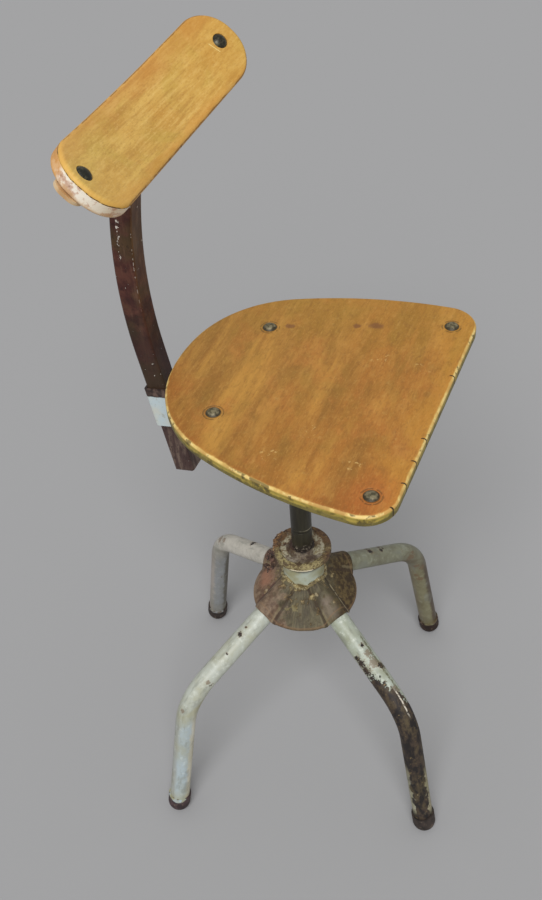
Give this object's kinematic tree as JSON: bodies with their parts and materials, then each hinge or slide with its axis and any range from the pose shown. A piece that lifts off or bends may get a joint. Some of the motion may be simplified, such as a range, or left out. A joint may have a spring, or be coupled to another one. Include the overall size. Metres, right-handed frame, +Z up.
{
  "type": "draughtsman chair",
  "caption": "Swivel draughtsman chair with a plywood seat, a tilting backrest on a curved post, a sliding pillar and a splayed base of bent tubes.",
  "frame": {"origin": "on the floor, on the pillar axis", "axes": "+Z up along the pillar; the sitter faces -Y and the backrest is on the +Y side"},
  "size_m": [0.429, 0.429, 0.9345],
  "materials": {
    "leg_paint": "worn pale grey-green paint",
    "foot_rubber": "matte",
    "hub_paint": "worn pale grey-green paint",
    "cover_paint": "worn paint and rust",
    "bush_metal": "plain",
    "collar_iron": "rust with paint remains",
    "pillar_steel": "oily",
    "fixing_steel": "dull",
    "frame_paint": "worn dark paint",
    "sleeve_paint": "worn pale paint",
    "post_paint": "dark maroon-brown paint",
    "seat_wood": "worn varnish",
    "pad_wood": "worn varnish",
    "bolt_black": "gloss black"
  },
  "bodies": {
    "base": {"leg_front_right": "leg_paint", "leg_rear_right": "leg_paint", "leg_front_left": "leg_paint", "leg_rear_left": "leg_paint", "ferrule_front_right": "foot_rubber", "ferrule_rear_right": "foot_rubber", "ferrule_front_left": "foot_rubber", "ferrule_rear_left": "foot_rubber", "hub_tube": "hub_paint", "hub_cover": "cover_paint", "upper_bush": "bush_metal", "lower_bush": "bush_metal"},
    "collar": {"height_collar": "collar_iron"},
    "collar_clamp": {"collar_screw": "fixing_steel"},
    "seat_unit": {"pillar": "pillar_steel", "stop_washer": "fixing_steel", "stop_bolt": "fixing_steel", "seat_spider": "frame_paint", "pillar_socket": "frame_paint", "socket_bolt": "fixing_steel", "socket_nut": "fixing_steel", "rear_arm": "frame_paint", "post_sleeve": "sleeve_paint", "clamp_nut": "fixing_steel", "seat_board": "seat_wood", "seat_bolts": "bolt_black", "seat_nuts": "fixing_steel"},
    "post_clamp": {"clamp_screw": "fixing_steel"},
    "post": {"back_post": "post_paint"},
    "backrest": {"backrest_strap": "frame_paint", "pivot_bracket": "frame_paint", "pivot_bolt": "fixing_steel", "pivot_nut": "fixing_steel", "backrest_pad": "pad_wood", "pad_bolts": "bolt_black", "pad_nuts": "fixing_steel"}
  },
  "joints": [
    {"name": "seat_swivel", "type": "hinge", "parent": "base", "child": "collar", "pos_m": [0, 0, 0.345], "axis": [0, 0, 1], "continuous": true},
    {"name": "collar_screw_turn", "type": "hinge", "parent": "collar", "child": "collar_clamp", "pos_m": [0, 0, 0.34425], "axis": [0.9164, 0.4003, 0], "range_deg": [0, 360]},
    {"name": "seat_height", "type": "slide", "parent": "collar", "child": "seat_unit", "axis": [0, 0, 1], "range_m": [-0.13, 0.012]},
    {"name": "post_clamp_turn", "type": "hinge", "parent": "seat_unit", "child": "post_clamp", "pos_m": [0, 0.1591, 0.5415], "axis": [1, 0, 0], "range_deg": [0, 360]},
    {"name": "backrest_height", "type": "slide", "parent": "seat_unit", "child": "post", "axis": [0, 0.165, 0.9863], "range_m": [-0.04, 0.045]},
    {"name": "backrest_tilt", "type": "hinge", "parent": "post", "child": "backrest", "pos_m": [0, 0.16008, 0.85411], "axis": [1, 0, 0], "range_deg": [-10, 55]}
  ]
}
